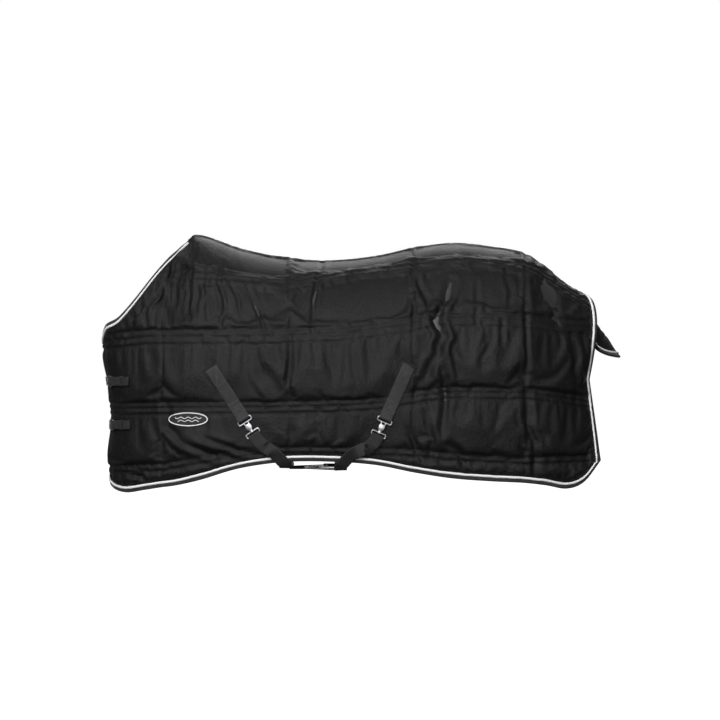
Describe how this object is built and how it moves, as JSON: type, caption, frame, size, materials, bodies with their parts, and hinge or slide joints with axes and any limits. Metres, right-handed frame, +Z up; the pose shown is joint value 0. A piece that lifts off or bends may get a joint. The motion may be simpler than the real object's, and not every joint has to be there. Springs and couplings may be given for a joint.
{
  "type": "turnout rug",
  "caption": "Quilted horse turnout rug as worn: side panels joined along the spine, bound and piped edges, buckled chest straps, crossed belly straps with metal hook clips, tail flap.",
  "frame": {"origin": "the lining's underside on the centre line over the horse's withers", "axes": "+X towards the tail, +Y towards the horse's far (right) side, +Z up"},
  "size_m": [1.7987, 0.6211, 0.8915],
  "materials": {
    "outer_cloth": "woven, slight sheen",
    "lining_cloth": "smooth woven",
    "wadding": "soft fibre",
    "webbing": "woven webbing",
    "binding_tape": "woven tape",
    "piping": "corded piping",
    "steel": "nickel plated",
    "badge_cloth": "embroidered, no marks"
  },
  "bodies": {
    "rug": {"badge": "badge_cloth", "badge_rim": "piping", "spine_piping": "piping", "tail_flap_strip": "webbing", "near_outer_cloth": "outer_cloth", "near_filling": "wadding", "near_lining": "lining_cloth", "near_neck_binding": "binding_tape", "near_chest_binding": "binding_tape", "near_hem_binding": "binding_tape", "near_rear_binding": "binding_tape", "near_neck_piping": "piping", "near_chest_piping": "piping", "near_hem_piping": "piping", "near_rear_piping": "piping", "near_front_patch": "outer_cloth", "near_rear_patch": "outer_cloth", "far_outer_cloth": "outer_cloth", "far_filling": "wadding", "far_lining": "lining_cloth", "far_neck_binding": "binding_tape", "far_chest_binding": "binding_tape", "far_hem_binding": "binding_tape", "far_rear_binding": "binding_tape", "far_neck_piping": "piping", "far_chest_piping": "piping", "far_hem_piping": "piping", "far_rear_piping": "piping", "far_front_patch": "outer_cloth", "far_rear_patch": "outer_cloth", "front_surcingle_tab": "webbing", "front_belly_strap": "webbing", "rear_surcingle_tab": "webbing", "rear_belly_strap": "webbing", "upper_chest_strap": "webbing", "upper_chape": "webbing", "upper_buckle": "steel", "upper_keeper": "webbing", "lower_chest_strap": "webbing", "lower_chape": "webbing", "lower_buckle": "steel", "lower_keeper": "webbing"},
    "tail_flap": {"tail_flap": "outer_cloth", "tail_flap_binding": "binding_tape", "tail_flap_piping": "piping"},
    "front_hook": {"front_hook": "steel"},
    "rear_hook": {"rear_hook": "steel"},
    "front_loop": {"front_loop": "steel"},
    "rear_loop": {"rear_loop": "steel"},
    "front_adjuster": {"front_adjuster": "steel"},
    "rear_adjuster": {"rear_adjuster": "steel"},
    "upper_tongue": {"upper_tongue": "steel"},
    "lower_tongue": {"lower_tongue": "steel"}
  },
  "joints": [
    {"name": "tail_flap_lift", "type": "hinge", "parent": "rug", "child": "tail_flap", "pos_m": [1.32766, 0, -0.23589], "axis": [0, -1, 0], "range_deg": [-10, 60]},
    {"name": "front_hook_swing", "type": "hinge", "parent": "rug", "child": "front_hook", "pos_m": [0.1556, -0.29274, -0.62344], "axis": [-0.8348, 0.0947, -0.5423], "range_deg": [0, 130]},
    {"name": "front_loop_swing", "type": "hinge", "parent": "rug", "child": "front_loop", "pos_m": [0.19057, -0.29118, -0.67702], "axis": [-0.8348, 0.0947, -0.5423], "range_deg": [-53, 1]},
    {"name": "front_adjuster_slide", "type": "slide", "parent": "rug", "child": "front_adjuster", "axis": [0.389, 0.9213, 0], "range_m": [-0.02, 0.05]},
    {"name": "rear_hook_swing", "type": "hinge", "parent": "rug", "child": "rear_hook", "pos_m": [0.63861, -0.30528, -0.62249], "axis": [-0.9144, -0.0482, 0.402], "range_deg": [0, 130]},
    {"name": "rear_loop_swing", "type": "hinge", "parent": "rug", "child": "rear_loop", "pos_m": [0.61272, -0.30103, -0.68087], "axis": [-0.9144, -0.0482, 0.402], "range_deg": [-53, 1]},
    {"name": "rear_adjuster_slide", "type": "slide", "parent": "rug", "child": "rear_adjuster", "axis": [-0.389, 0.9213, 0], "range_m": [-0.02, 0.05]},
    {"name": "upper_tongue_swing", "type": "hinge", "parent": "rug", "child": "upper_tongue", "pos_m": [-0.30319, -0.11579, -0.49554], "axis": [-0.0601, -0.032, 0.9977], "range_deg": [0, 95]},
    {"name": "lower_tongue_swing", "type": "hinge", "parent": "rug", "child": "lower_tongue", "pos_m": [-0.2963, -0.11154, -0.64504], "axis": [-0.005, -0.0027, 1], "range_deg": [0, 95]}
  ],
  "couplings": [
    {"joint": "front_loop_swing", "follows": "front_hook_swing", "ratio": -0.4},
    {"joint": "rear_loop_swing", "follows": "rear_hook_swing", "ratio": -0.4}
  ]
}
